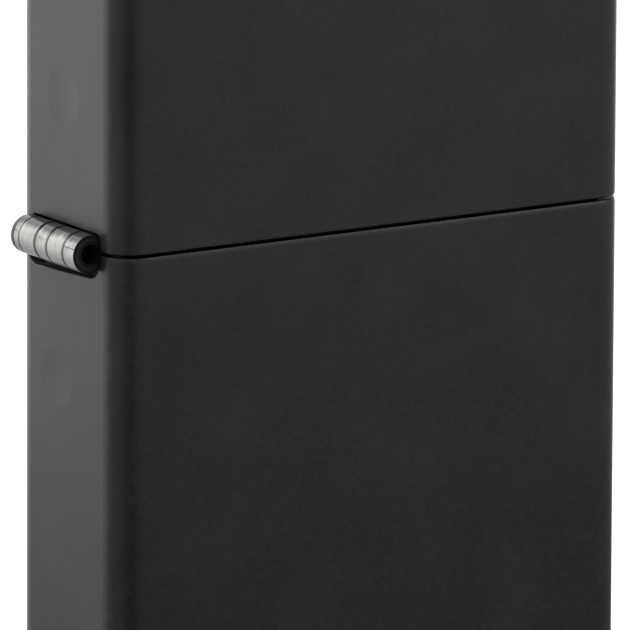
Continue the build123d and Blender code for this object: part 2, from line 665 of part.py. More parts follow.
with BuildPart() as wick_wire:
    with BuildSketch(Plane.XY.offset(WICK_TOP - WICK_WIRE_LENGTH / 2)):
        with Locations((WICK_X, 0)):
            Circle(WICK_WIRE_R)
    extrude(amount=WICK_WIRE_LENGTH / 2 + 0.3)
save(wick_wire, "wick_wire")

with BuildPart() as felt_pad:
    with BuildSketch(Plane.XY.offset(FELT_Z)):
        with Locations((INSERT_X, 0)):
            RectangleRounded(
                INSERT_W - 2 * INSERT_WALL,
                INSERT_D - 2 * INSERT_WALL,
                INSERT_R - INSERT_WALL,
            )
        with Locations((WHEEL_X, 0)):
            Circle(SCREW_HEAD_R + PACK_GAP, mode=Mode.SUBTRACT)
        with Locations((FILL_HOLE_X, 0)):
            Circle(FILL_HOLE_R, mode=Mode.SUBTRACT)
    extrude(amount=FELT_T)
save(felt_pad, "felt_pad")

# Five wads of rayon fill the tank: three on the hinge side of the wick, one between
# the wick and the flint tube, and one beyond the tube. Each is (low x, high x, low z, high z).
left_wall = TANK_LEFT + PACK_GAP
right_wall = TANK_RIGHT - PACK_GAP
wick_left = WICK_X - WICK_R - PACK_GAP
wick_right = WICK_X + WICK_R + PACK_GAP
floor = FELT_TOP + PACK_GAP
third = (TANK_TOP - floor - 2 * PACK_GAP) / 3
tube_left = WHEEL_X - TUBE_R - PACK_GAP
tube_right = WHEEL_X + TUBE_R + PACK_GAP
WADS = [
    (left_wall, wick_left, floor, floor + third),
    (left_wall, wick_left - 2.3, floor + third + PACK_GAP, floor + 2 * third),
    (left_wall, wick_left - 1.3, floor + 2 * third + PACK_GAP, TANK_TOP - PACK_GAP),
    (wick_right + 1.6, tube_left, floor, TANK_TOP - PACK_GAP),
    (tube_right, right_wall, floor, TANK_TOP - PACK_GAP),
]
for number, (x_low, x_high, z_low, z_high) in enumerate(WADS, start=1):
    with BuildPart() as wad:
        with Locations(((x_low + x_high) / 2, 0, (z_low + z_high) / 2)):
            Box(x_high - x_low, 2 * TANK_HALF_D - 2 * PACK_GAP, z_high - z_low)
        fillet(wad.edges(), min(x_high - x_low, z_high - z_low) * 0.36)
    save(wad, f"cotton_wad_{number}")
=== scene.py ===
"""Looks of a flip-top petrol lighter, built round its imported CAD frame.

Everything is in metres in the CAD's own frame: +Z up, front panel towards -Y, hinge at -X.
"""

from math import atan2, cos, pi, radians, sin

import bmesh
import bpy
from mathutils import Matrix, Vector, noise


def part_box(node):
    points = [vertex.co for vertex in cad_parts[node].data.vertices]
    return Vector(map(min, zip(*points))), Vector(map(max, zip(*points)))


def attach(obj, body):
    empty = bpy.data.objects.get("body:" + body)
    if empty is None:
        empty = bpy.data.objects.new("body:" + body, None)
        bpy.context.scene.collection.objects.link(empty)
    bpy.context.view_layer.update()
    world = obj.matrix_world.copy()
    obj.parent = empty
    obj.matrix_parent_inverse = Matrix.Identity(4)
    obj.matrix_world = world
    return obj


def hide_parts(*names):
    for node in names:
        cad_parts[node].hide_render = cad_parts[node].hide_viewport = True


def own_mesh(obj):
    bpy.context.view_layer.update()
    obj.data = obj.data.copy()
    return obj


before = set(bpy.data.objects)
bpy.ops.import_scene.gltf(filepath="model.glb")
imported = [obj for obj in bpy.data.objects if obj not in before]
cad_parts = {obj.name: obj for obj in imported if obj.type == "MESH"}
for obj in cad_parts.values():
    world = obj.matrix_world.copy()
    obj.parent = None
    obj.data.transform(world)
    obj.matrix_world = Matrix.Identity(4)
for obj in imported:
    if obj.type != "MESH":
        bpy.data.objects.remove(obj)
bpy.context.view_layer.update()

MM = 0.001

# ------------------------------------------------------------------ places from the frame
case_lo, case_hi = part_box("case_bottom")
lid_lo, lid_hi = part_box("lid_shell")
BODY_X = (case_lo[0] + case_hi[0]) / 2
SEAM_Z = (case_hi[2] + lid_lo[2]) / 2
HALF_W = (case_hi[0] - case_lo[0]) / 2
HALF_D = (case_hi[1] - case_lo[1]) / 2
WALL = 0.65 * MM
CORNER_R = 1.88 * MM
MOUTH_Z = (lid_lo[2] - case_hi[2]) / 2  # half the gap between case and lid
AXIS_X = BODY_X - HALF_W - 0.58 * MM
AXIS_Z = SEAM_Z - 0.04 * MM
KNUCKLE_R = 1.2 * MM
BARREL_NEAR_Y, BARREL_FAR_Y = -3.72 * MM, 3.70 * MM


# ------------------------------------------------------------------ material helpers
class Nodes:
    """Short calls for adding and linking nodes in one node tree."""

    def __init__(self, tree):
        self.tree = tree

    def add(self, kind, **settings):
        node = self.tree.nodes.new(kind)
        for key, value in settings.items():
            setattr(node, key, value)
        return node

    def link(self, source, target):
        self.tree.links.new(source, target)

    def ramp(self, value, low, high, out_low=0.0, out_high=1.0):
        """value in low..high mapped smoothly to out_low..out_high and clamped."""
        node = self.add("ShaderNodeMapRange", interpolation_type="SMOOTHSTEP")
        self.link(value, node.inputs["Value"])
        for key, number in zip(
            ("From Min", "From Max", "To Min", "To Max"), (low, high, out_low, out_high)
        ):
            node.inputs[key].default_value = number
        return node.outputs["Result"]

    def math(self, operation, a, b=None):
        """One Math node; a and b are numbers or sockets, and b may be left out."""
        node = self.add("ShaderNodeMath", operation=operation)
        for socket, value in zip(node.inputs, (a, b)):
            if value is None:
                continue
            if isinstance(value, (int, float)):
                socket.default_value = value
            else:
                self.link(value, socket)
        return node.outputs["Value"]


class Mat(Nodes):
    """A material being built on its Principled shader, in object coordinates."""

    def __init__(self, name):
        self.mat = bpy.data.materials.new(name)
        self.mat.use_nodes = True
        super().__init__(self.mat.node_tree)
        self.bsdf = self.tree.nodes["Principled BSDF"]
        self.coord = self.add("ShaderNodeTexCoord").outputs["Object"]

    def set(self, **values):
        """Sets sockets of the Principled shader by their names, with _ for a space."""
        for key, value in values.items():
            self.bsdf.inputs[key.replace("_", " ")].default_value = value

    def noise(self, scale, detail=4.0, rough=0.55, distortion=0.0):
        """A noise value in 0..1. scale is (x, y, z) in features per metre."""
        mapping = self.add("ShaderNodeMapping")
        mapping.inputs["Scale"].default_value = scale
        self.link(self.coord, mapping.inputs["Vector"])
        tex = self.add("ShaderNodeTexNoise")
        tex.inputs["Scale"].default_value = 1.0
        tex.inputs["Detail"].default_value = detail
        tex.inputs["Roughness"].default_value = rough
        tex.inputs["Distortion"].default_value = distortion
        self.link(mapping.outputs["Vector"], tex.inputs["Vector"])
        return tex.outputs["Fac"]

    def mix(self, factor, low, high):
        """A colour between low and high, which are colours or sockets."""
        node = self.add("ShaderNodeMix", data_type="RGBA")
        self.link(factor, node.inputs["Factor"])
        for name, value in (("A", low), ("B", high)):
            socket = [s for s in node.inputs if s.name == name and s.type == "RGBA"][0]
            if isinstance(value, tuple):
                socket.default_value = (*value, 1.0)
            else:
                self.link(value, socket)
        return [s for s in node.outputs if s.type == "RGBA"][0]

    def xyz(self):
        """The three object coordinates, in metres."""
        node = self.add("ShaderNodeSeparateXYZ")
        self.link(self.coord, node.inputs["Vector"])
        return node.outputs["X"], node.outputs["Y"], node.outputs["Z"]

    def bump(self, height, distance):
        """Adds a bump as deep as distance, in metres."""
        node = self.add("ShaderNodeBump")
        node.inputs["Distance"].default_value = distance
        self.link(height, node.inputs["Height"])
        self.link(node.outputs["Normal"], self.bsdf.inputs["Normal"])


def finish_slot(node, material):
    """Gives a CAD node this material in all its slots."""
    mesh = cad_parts[node].data
    if not mesh.materials:
        mesh.materials.append(material)
    for i in range(len(mesh.materials)):
        mesh.materials[i] = material


# ------------------------------------------------------------------ materials
ROUGH_SPREAD = 0.06
# Fades of the painted shade band on the insert at the seam.
SEAM_SHADE_FADE_LOW, SEAM_SHADE_FADE_HIGH = 0.2 * MM, 0.15 * MM
BLACK = (0.001, 0.001, 0.001)


def metal(name, colour, rough, grain=None, grain_depth=0.0, dirt=0.12, seam_shade_z=None):
    """A metal with patchy roughness and a little dull film, and directional grain where
    grain is given, as the noise scale (x, y, z): large across the brush lines, small
    along. The last argument is the (low, high) heights of a band painted black as shade."""
    m = Mat(name)
    m.set(Metallic=1.0)
    patches = m.noise((900, 900, 900), detail=5.0)
    film_and_painted_reflection = m.ramp(patches, 0.35, 0.75)
    dull = tuple(c * (1.0 - dirt) for c in colour)
    if grain:
        lines = m.noise(grain, detail=6.0, rough=0.7)
        streak = m.ramp(lines, 0.3, 0.7)
        shade = m.mix(streak, tuple(c * 0.9 for c in colour), colour)
        surface = m.mix(film_and_painted_reflection, shade, dull)
        # Painted shade: a black band across the insert where it sits in shadow behind the seam
        # gap.
        if seam_shade_z:
            low, high = seam_shade_z
            z = m.xyz()[2]
            above = m.ramp(z, low, low + SEAM_SHADE_FADE_LOW)
            below = m.ramp(z, high - SEAM_SHADE_FADE_HIGH, high, 1.0, 0.0)
            surface = m.mix(m.math("MULTIPLY", above, below), surface, BLACK)
        m.link(surface, m.bsdf.inputs["Base Color"])
        along = m.ramp(lines, 0.3, 0.7, rough - ROUGH_SPREAD, rough)
        uneven = m.ramp(patches, 0.3, 0.8, 0.0, ROUGH_SPREAD)
        m.link(m.math("ADD", along, uneven), m.bsdf.inputs["Roughness"])
        m.bump(lines, grain_depth)
    else:
        m.link(m.mix(film_and_painted_reflection, colour, dull), m.bsdf.inputs["Base Color"])
        m.link(
            m.ramp(patches, 0.3, 0.8, rough - ROUGH_SPREAD, rough + ROUGH_SPREAD),
            m.bsdf.inputs["Roughness"],
        )
    return m.mat


def hypotenuse(m, a, b):
    """The length of the plane vector (a, b), which are sockets."""
    return m.math("SQRT", m.math("ADD", m.math("MULTIPLY", a, a), m.math("MULTIPLY", b, b)))


def past_wall(m, x, y):
    """How far a point is outside the body's round-cornered outline. Negative inside."""
    past = []
    for value, half in ((m.math("SUBTRACT", x, BODY_X), HALF_W), (y, HALF_D)):
        beyond = m.math("SUBTRACT", m.math("ABSOLUTE", value), half - CORNER_R)
        past.append(m.math("MAXIMUM", beyond, 0.0))
    return m.math("SUBTRACT", hypotenuse(m, *past), CORNER_R)


CEILING_Z = lid_hi[2] - 1.0 * MM  # the brass shows below this height
BASE_TOP_Z = 0.85 * MM  # and above this one
MOUTH_COATED = 2.4 * MM  # how far the coating reaches into both mouths
COAT_DARK, COAT_LIGHT = (0.0245, 0.0245, 0.0245), (0.0395, 0.0395, 0.0395)
BRASS_LIGHT, BRASS_DULL = (0.80, 0.64, 0.34), (0.66, 0.50, 0.25)
COAT_ROUGH = (0.30, 0.395)
BRASS_ROUGH = 0.33
POWDER_DEPTH = 0.005 * MM


def black_coat():
    """Matt black coating outside, with the faces at the seam painted pure black as shade; the
    drawn brass is bare and satin inside.
    """
    m = Mat("black_coat")
    x, y, z = m.xyz()
    within = m.ramp(past_wall(m, x, y), -WALL + 0.05 * MM, -WALL + 0.12 * MM, 1.0, 0.0)
    below = m.ramp(z, CEILING_Z + 0.02 * MM, CEILING_Z + 0.1 * MM, 1.0, 0.0)
    above = m.ramp(z, BASE_TOP_Z, BASE_TOP_Z + 0.1 * MM)
    from_seam = m.math("ABSOLUTE", m.math("SUBTRACT", z, SEAM_Z))
    off_mouth = m.ramp(from_seam, MOUTH_COATED, MOUTH_COATED + 0.8 * MM)
    inside = m.math("MULTIPLY", within, m.math("MULTIPLY", below, above))
    inside = m.math("MULTIPLY", inside, off_mouth)
    # Painted shade: the faces at the seam gap are made pure black.
    seam_gap_shade = m.ramp(from_seam, MOUTH_Z + 0.02 * MM, MOUTH_Z + 0.04 * MM, 1.0, 0.0)

    cloud = m.noise((160, 160, 160), detail=3.0)
    powder = m.noise((9000, 9000, 9000), detail=2.0)
    mottle = m.noise((2600, 2600, 2600), detail=3.0, rough=0.6)
    tone = m.math("ADD", m.math("MULTIPLY", cloud, 0.5), m.math("MULTIPLY", mottle, 0.5))
    coat = m.mix(m.ramp(tone, 0.35, 0.65), COAT_DARK, COAT_LIGHT)
    coat = m.mix(seam_gap_shade, coat, BLACK)
    stain = m.ramp(m.noise((700, 700, 700)), 0.35, 0.7)
    brass = m.mix(stain, BRASS_LIGHT, BRASS_DULL)
    m.link(m.mix(inside, coat, brass), m.bsdf.inputs["Base Color"])
    m.link(m.math("MAXIMUM", inside, seam_gap_shade), m.bsdf.inputs["Metallic"])
    grit = m.math("ADD", m.math("MULTIPLY", mottle, 0.6), m.math("MULTIPLY", powder, 0.4))
    rough = m.add("ShaderNodeMix", data_type="FLOAT")
    m.link(inside, rough.inputs["Factor"])
    m.link(m.ramp(grit, 0.35, 0.65, *COAT_ROUGH), rough.inputs["A"])
    rough.inputs["B"].default_value = BRASS_ROUGH
    m.link(rough.outputs["Result"], m.bsdf.inputs["Roughness"])
    m.bump(powder, POWDER_DEPTH)
    return m.mat


# Where the painted dark reflection on the roll's top begins and ends.
DARK_REFLECTION_FROM, DARK_REFLECTION_TO = 0.54, 0.86  # heights on the roll, as shares of its radius
ROLL_LINE_ANGLE = radians(21)  # above the outward direction
ROLL_LINE_END = -2.4 * MM
ROLL_LINE_GREY = (0.12, 0.12, 0.12)
STEEL_DARK, STEEL_LIGHT = (0.52, 0.52, 0.505), (0.73, 0.73, 0.705)
SMEAR_GREY = (0.36, 0.36, 0.35)
# Painted shade for the roll's lower part.
LOWER_SHADE_DARK, LOWER_SHADE_LIGHT = (0.28, 0.28, 0.27), (0.40, 0.40, 0.39)
# Colours of the painted dark reflection on the roll's top.
REFLECTION_DARK, REFLECTION_LIGHT = (0.002, 0.002, 0.002), (0.026, 0.026, 0.025)
# Painted shade on the near end, with a painted grey ring of light on it.
END_SHADE_DARK, END_RING_PAINTED_LIGHT = (0.003, 0.003, 0.003), (0.028, 0.028, 0.028)
FAR_RIM = (0.030, 0.030, 0.030)
# Painted shade in the gaps round the barrel and in its bore.
GAP_SHADE_BLACK = (0.002, 0.002, 0.002)
# Where masks begin and end, from the pin's axis
NECK_OUT = (0.55 * KNUCKLE_R, 0.72 * KNUCKLE_R)
NECK_REACH = (2.3 * KNUCKLE_R, 2.8 * KNUCKLE_R)
BORE_EDGE = (0.60 * KNUCKLE_R, 0.64 * KNUCKLE_R)
RING_INNER = (0.66 * KNUCKLE_R, 0.71 * KNUCKLE_R)
RING_OUTER = (0.79 * KNUCKLE_R, 0.86 * KNUCKLE_R)
RING_FADE = (0.1 * KNUCKLE_R, 0.5 * KNUCKLE_R)


def hinge_steel():
    """Satin steel with fine lines round the roll, with light and shade painted on it: the
    roll's top and lower part are darker, and the barrel's ends, the necks behind it and
    the bore are dark."""
    m = Mat("hinge_steel")
    x, y, z = m.xyz()
    out = m.math("SUBTRACT", x, AXIS_X)
    up = m.math("SUBTRACT", z, AXIS_Z)
    radius = hypotenuse(m, out, up)

    lines = m.noise((450, 6500, 450), detail=6.0, rough=0.75)
    smears = m.noise((1400, 900, 1400), detail=5.0, rough=0.65)
    height = m.math("DIVIDE", up, KNUCKLE_R)
    streak = m.ramp(lines, 0.32, 0.62)
    steel = m.mix(streak, STEEL_DARK, STEEL_LIGHT)
    steel = m.mix(m.ramp(smears, 0.50, 0.72), steel, SMEAR_GREY)
    # Painted shade: the roll darkens towards its bottom.
    lower_shade = m.mix(streak, LOWER_SHADE_DARK, LOWER_SHADE_LIGHT)
    steel = m.mix(m.ramp(height, -1.0, 0.45), lower_shade, steel)

    # The roll's top is darkened as a painted dark reflection, more in some lines than in
    # others.
    uneven = m.math("MULTIPLY", m.math("SUBTRACT", m.noise((300, 2600, 300)), 0.5), 0.45)
    painted_dark_top = m.ramp(m.math("ADD", height, uneven), DARK_REFLECTION_FROM, DARK_REFLECTION_TO)
    film_and_painted_reflection = m.mix(m.ramp(lines, 0.40, 0.70), REFLECTION_DARK, REFLECTION_LIGHT)
    steel = m.mix(painted_dark_top, steel, film_and_painted_reflection)

    # A dark line where each rolled sheet closes.
    off_line = m.math(
        "ADD",
        m.math("MULTIPLY", up, cos(ROLL_LINE_ANGLE)),
        m.math("MULTIPLY", out, sin(ROLL_LINE_ANGLE)),
    )
    line = m.ramp(m.math("ABSOLUTE", off_line), 0.02 * MM, 0.05 * MM, 0.75, 0.0)
    line = m.math("MULTIPLY", line, m.math("LESS_THAN", out, 0.0))
    line = m.math("MULTIPLY", line, m.math("LESS_THAN", y, ROLL_LINE_END))
    steel = m.mix(line, steel, ROLL_LINE_GREY)

    # Painted shade: the barrel's near end, the necks behind it and the bore are dark; the far
    # end's rim is darker too.
    near_end_shade = m.ramp(y, BARREL_NEAR_Y + 0.02 * MM, BARREL_NEAR_Y + 0.05 * MM, 1.0, 0.0)
    far_end = m.ramp(y, BARREL_FAR_Y - 0.46 * MM, BARREL_FAR_Y - 0.38 * MM)
    neck_shade = m.math(
        "MULTIPLY",
        m.ramp(out, *NECK_OUT),
        m.ramp(radius, *NECK_REACH, 1.0, 0.0),
    )
    bore_shade = m.ramp(radius, *BORE_EDGE, 1.0, 0.0)

    # Painted light: a grey ring on the near end's painted shade, fainter on its outer side.
    ring = m.math(
        "MULTIPLY", m.ramp(radius, *RING_INNER), m.ramp(radius, *RING_OUTER, 1.0, 0.0)
    )
    ring = m.math("MULTIPLY", ring, m.ramp(out, *RING_FADE, 1.0, 0.2))
    end_shade = m.mix(ring, END_SHADE_DARK, END_RING_PAINTED_LIGHT)
    colour = m.mix(far_end, steel, FAR_RIM)
    colour = m.mix(neck_shade, colour, GAP_SHADE_BLACK)
    colour = m.mix(near_end_shade, colour, end_shade)
    colour = m.mix(bore_shade, colour, GAP_SHADE_BLACK)
    # The painted-shade areas are also rougher.
    dark = m.math("MAXIMUM", m.math("MAXIMUM", neck_shade, near_end_shade), bore_shade)
    m.link(colour, m.bsdf.inputs["Base Color"])
    sheen = m.ramp(lines, 0.3, 0.7, 0.16, 0.24)
    m.link(m.math("ADD", sheen, m.math("MULTIPLY", dark, 0.5)), m.bsdf.inputs["Roughness"])
    m.bump(lines, 0.003 * MM)
    return m.mat


def fibre(name, light, dark, scale):
    """Loose or woven fibre: fuzzy, soft and matt."""
    m = Mat(name)
    strands = m.noise(scale, detail=6.0, rough=0.65, distortion=1.2)
    m.link(m.mix(m.ramp(strands, 0.35, 0.65), dark, light), m.bsdf.inputs["Base Color"])
    m.set(Roughness=0.95, Sheen_Weight=0.4, Sheen_Roughness=0.5)
    m.bump(strands, 0.08 * MM)
    return m.mat


COAT = black_coat()
HINGE = hinge_steel()
# The pin is coloured nearly black, as painted shade in the bore at the barrel's ends.
PIN = metal("pin_steel", (0.012, 0.012, 0.012), 0.6)
SEAM_SHADE_Z = (SEAM_Z - 0.8 * MM, SEAM_Z + 0.25 * MM)  # painted shade: the insert is black where it sits behind the seam gap
INSERT = metal(
    "insert_steel", (0.68, 0.68, 0.67), 0.30, (500, 500, 9000), 0.004 * MM, seam_shade_z=SEAM_SHADE_Z
)
SCREEN = metal("screen_steel", (0.66, 0.66, 0.65), 0.32, (500, 500, 9000), 0.004 * MM)
WHEEL = metal("wheel_steel", (0.40, 0.385, 0.36), 0.42, dirt=0.45)
RIVET = metal("rivet_steel", (0.70, 0.70, 0.69), 0.28, (4000, 4000, 4000), 0.003 * MM)
CAM = metal("cam_steel", (0.60, 0.60, 0.59), 0.33, (600, 5000, 600), 0.004 * MM)
SPRING = metal("spring_steel", (0.52, 0.52, 0.54), 0.25)
BRASS = metal("brass_parts", (0.80, 0.60, 0.28), 0.28, (600, 600, 7000), 0.003 * MM)
FLINT = metal("flint_metal", (0.17, 0.16, 0.16), 0.6, dirt=0.4)
COPPER = metal("copper_wire", (0.78, 0.42, 0.26), 0.3)
RAYON = fibre("rayon", (0.90, 0.89, 0.86), (0.72, 0.71, 0.68), (3000, 3000, 3000))
FELT_MAT = fibre("felt", (0.80, 0.78, 0.73), (0.60, 0.58, 0.54), (5000, 5000, 2500))
WICK_MAT = fibre("wick_cotton", (0.86, 0.82, 0.73), (0.55, 0.50, 0.42), (5000, 5000, 2000))

for node in ("case_bottom", "lid_shell"):
    finish_slot(node, COAT)
for node in ("case_hinge_leaf", "lid_hinge_leaf"):
    finish_slot(node, HINGE)
finish_slot("hinge_pin", PIN)
finish_slot("insert_shell", INSERT)
finish_slot("windscreen", SCREEN)
finish_slot("flint_wheel", WHEEL)
for node in ("wheel_rivet", "cam_rivet", "cam_spring_rivet"):
    finish_slot(node, RIVET)
finish_slot("cam_lever", CAM)
for node in ("cam_spring", "flint_spring"):
    finish_slot(node, SPRING)
for node in ("flint_tube", "flint_plug", "flint_screw"):
    finish_slot(node, BRASS)
finish_slot("flint", FLINT)
finish_slot("wick", WICK_MAT)
finish_slot("wick_wire", COPPER)
for number in range(1, 6):
    finish_slot(f"cotton_wad_{number}", RAYON)
finish_slot("felt_pad", FELT_MAT)


# ------------------------------------------------------------------ new pieces
def add_piece(name, mesh, material, body, replaced, smooth=True):
    """Adds a mesh as a piece that rides on a body and stands for a CAD node."""
    mesh.materials.clear()
    mesh.materials.append(material)
    for face in mesh.polygons:
        face.use_smooth = smooth
    obj = bpy.data.objects.new(name, mesh)
    bpy.context.scene.collection.objects.link(obj)
    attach(obj, body)
    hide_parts(replaced)
    return obj


def skin(bm, rings, wrap):
    """Joins rings of vertices, each as long as the last, with four-sided faces. wrap
    also joins the last ring to the first."""
    made = [[bm.verts.new(point) for point in ring] for ring in rings]
    pairs = list(zip(made, made[1:]))
    if wrap:
        pairs.append((made[-1], made[0]))
    for low, high in pairs:
        for i, vert in enumerate(low):
            j = (i + 1) % len(low)
            bm.faces.new((vert, low[j], high[j], high[i]))
    return made


def to_mesh(bm, name):
    """The finished mesh of a bmesh, with its faces turned outwards."""
    bmesh.ops.recalc_face_normals(bm, faces=bm.faces)
    mesh = bpy.data.meshes.new(name)
    bm.to_mesh(mesh)
    bm.free()
    return mesh


# The flint wheel: saw teeth cut on the slant, crossed by fine grooves, on stepped hubs.
WHEEL_TEETH = 34
TOOTH_STEPS = 8
TOOTH_DEPTH = 0.28 * MM
TOOTH_SLANT = 2.2  # how many teeth a tooth runs across over the wheel's width
GROOVES = 15
GROOVE_DEPTH = 0.10 * MM
RIM_STEPS = 60
WHEEL_HALF_W = 2.15 * MM
WHEEL_BORE_R = 1.0 * MM
WHEEL_HUB_R = 2.1 * MM
SIDE_STEP_R = 2.75 * MM
TOOTH_BACK = 0.8  # the long slope of a tooth, as a share of it
EDGE_FROM = 0.9  # where the rim's rounded edges begin, as a share of its half width
EDGE_DROP = 0.2 * MM
HUB_BEVEL_LONG, HUB_BEVEL_DEEP = 0.12 * MM, 0.15 * MM
HUB_FOOT_LONG, HUB_FOOT_DEEP = 0.02 * MM, 0.08 * MM
SIDE_RECESS = 0.10 * MM
SIDE_STEP_SLOPE = 0.06 * MM

wheel_lo, wheel_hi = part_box("flint_wheel")
wheel_x = (wheel_lo[0] + wheel_hi[0]) / 2
wheel_z = (wheel_lo[2] + wheel_hi[2]) / 2
wheel_r = (wheel_hi[2] - wheel_lo[2]) / 2
hub_half = (wheel_hi[1] - wheel_lo[1]) / 2


def rim_radius(turn, across):
    """The cut rim's radius. turn is 0..1 round the wheel and across -1..1 over it."""
    tooth = (turn * WHEEL_TEETH + across * TOOTH_SLANT / 2) % 1.0
    saw = 1.0 - min(tooth / TOOTH_BACK, (1.0 - tooth) / (1.0 - TOOTH_BACK))
    groove = 0.5 + 0.5 * cos(2 * pi * GROOVES * (across + 1) / 2)
    edge = max(0.0, abs(across) - EDGE_FROM) / (1.0 - EDGE_FROM)
    return wheel_r - saw * TOOTH_DEPTH - groove**3 * GROOVE_DEPTH - edge**2 * EDGE_DROP


def wheel_profile(turn):
    """The wheel's closed section at one turn, as (across, radius) in metres."""
    rim = [-1 + 2 * i / RIM_STEPS for i in range(RIM_STEPS + 1)]
    near = [
        (-hub_half, WHEEL_BORE_R),
        (-hub_half, WHEEL_HUB_R - HUB_BEVEL_DEEP),
        (-hub_half + HUB_BEVEL_LONG, WHEEL_HUB_R),
        (-WHEEL_HALF_W - HUB_FOOT_LONG, WHEEL_HUB_R),
        (-WHEEL_HALF_W + SIDE_RECESS, WHEEL_HUB_R + HUB_FOOT_DEEP),
        (-WHEEL_HALF_W + SIDE_RECESS, SIDE_STEP_R),
        (-WHEEL_HALF_W, SIDE_STEP_R + SIDE_STEP_SLOPE),
    ]
    far = [(-y, r) for y, r in reversed(near)]
    return near + [(a * WHEEL_HALF_W, rim_radius(turn, a)) for a in rim] + far


bm = bmesh.new()
around = WHEEL_TEETH * TOOTH_STEPS
rings = []
for i in range(around):
    angle = 2 * pi * i / around
    rings.append(
        [
            (wheel_x + r * cos(angle), y, wheel_z + r * sin(angle))
            for y, r in wheel_profile(i / around)
        ]
    )
skin(bm, rings, wrap=True)
add_piece(
    "cut_wheel", to_mesh(bm, "cut_wheel"), WHEEL, "wheel", "flint_wheel", False
)

# The flint's spring: wound wire with closed end turns.
WIRE_R = 0.17 * MM
OPEN_TURNS = 14.5
CLOSED_TURNS = 1.5  # at each end
CLOSED_PITCH = 0.26  # as a share of the open turns' pitch
TURN_STEPS = 28
WIRE_AROUND = 10

coil_lo, coil_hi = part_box("flint_spring")
coil_x = (coil_lo[0] + coil_hi[0]) / 2
coil_r = (coil_hi[1] - coil_lo[1]) / 2 - WIRE_R
coil_length = coil_hi[2] - coil_lo[2] - 2 * WIRE_R
turns = OPEN_TURNS + 2 * CLOSED_TURNS
climb = []
for i in range(int(turns * TURN_STEPS)):
    from_end = min(i / TURN_STEPS, turns - i / TURN_STEPS)
    opened = min(1.0, max(0.0, 2 * (from_end - CLOSED_TURNS)))
    climb.append(CLOSED_PITCH + (1 - CLOSED_PITCH) * opened)
climb_sum = sum(climb)

bm = bmesh.new()
rings = []
z = coil_lo[2] + WIRE_R
for i, share in enumerate(climb + climb[-1:]):
    angle = 2 * pi * i / TURN_STEPS
    step = share * coil_length / climb_sum
    lean = atan2(step * TURN_STEPS, 2 * pi * coil_r)
    out = Vector((cos(angle), sin(angle), 0))
    up = Vector((sin(angle) * sin(lean), -cos(angle) * sin(lean), cos(lean)))
    middle = Vector((coil_x, 0, z)) + out * coil_r
    ring = []
    for k in range(WIRE_AROUND):
        turn = 2 * pi * k / WIRE_AROUND
        ring.append(middle + (out * cos(turn) + up * sin(turn)) * WIRE_R)
    rings.append(ring)
    z += step
made = skin(bm, rings, wrap=False)
bm.faces.new(made[0])
bm.faces.new(made[-1])
mesh = to_mesh(bm, "wound_spring")
coil = add_piece("wound_spring", mesh, SPRING, "flint", "flint_spring")
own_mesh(coil)

# The wick: a round braid down its route, with a flat, slightly frayed top.
WICK_R = 1.5 * MM
# The middle's distance to the side and its height, both in mm
WICK_ROUTE = [(0.0, 44.6), (0.0, 30.0), (-2.2, 21.0), (1.8, 12.0), (0.6, 3.95)]
BRAID_STRANDS = 6
BRAID_PITCH = 4.2 * MM
BRAID_DEPTH = 0.2
WICK_AROUND = 72
WICK_STEP = 0.12 * MM
ROUTE_SOFTENING = 1.6  # mm of height over which the route's corners are rounded
ROUTE_SAMPLES = 4  # each side of a point
TIP_TAPER = 0.12
TIP_LENGTH = 0.5 * MM
WICK_LUMPS = 0.02
TOP_RINGS = (0.8, 0.55, 0.3)  # shares of the tip's radius
TOP_FRAY = 0.12 * MM

wick_lo, wick_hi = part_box("wick")
wire_lo, wire_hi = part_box("wick_wire")
wick_x = (wire_lo[0] + wire_hi[0]) / 2


def route_side(z):
    """How far to the side the wick's middle is at a height, both in mm."""
    for (x_a, z_a), (x_b, z_b) in zip(WICK_ROUTE, WICK_ROUTE[1:]):
        if z >= z_b:
            return x_a + (x_b - x_a) * min(1.0, (z_a - z) / (z_a - z_b))
    return WICK_ROUTE[-1][0]


def braid(turn, length):
    """The braid's height, 0..1, at a turn in radians and a length in metres."""
    along = 2 * pi * length / BRAID_PITCH
    one = cos(BRAID_STRANDS * turn + BRAID_STRANDS * along / 2)
    other = cos(BRAID_STRANDS * turn - BRAID_STRANDS * along / 2)
    return max(one, other) ** 3 if max(one, other) > 0 else 0.0


bm = bmesh.new()
rings = []
steps = int((wick_hi[2] - wick_lo[2]) / WICK_STEP)
for i in range(steps + 1):
    length = i * (wick_hi[2] - wick_lo[2]) / steps
    z = wick_hi[2] - length
    spread = [
        route_side(z / MM + ROUTE_SOFTENING * k / ROUTE_SAMPLES)
        for k in range(-ROUTE_SAMPLES, ROUTE_SAMPLES + 1)
    ]
    middle = wick_x + sum(spread) / len(spread) * MM
    taper = 1.0 - TIP_TAPER * max(0.0, 1.0 - length / TIP_LENGTH)
    ring = []
    for k in range(WICK_AROUND):
        turn = 2 * pi * k / WICK_AROUND
        r = WICK_R * taper * (1.0 - BRAID_DEPTH * (1.0 - braid(turn, length)))
        r *= 1.0 + WICK_LUMPS * noise.noise(Vector((cos(turn) * 3, sin(turn) * 3, z / MM * 2)))
        ring.append((middle + r * cos(turn), r * sin(turn), z))
    rings.append(ring)
top = rings[0]
for inward in TOP_RINGS:
    ring = []
    for x, y, z in top:
        lift = TOP_FRAY * noise.noise(Vector((x, y, 0)) / MM * 4)
        ring.append((wick_x + (x - wick_x) * inward, y * inward, z + lift))
    rings.insert(0, ring)
made = skin(bm, rings, wrap=False)
bm.faces.new(made[-1])
add_piece("braided_wick", to_mesh(bm, "braided_wick"), WICK_MAT, "case", "wick")


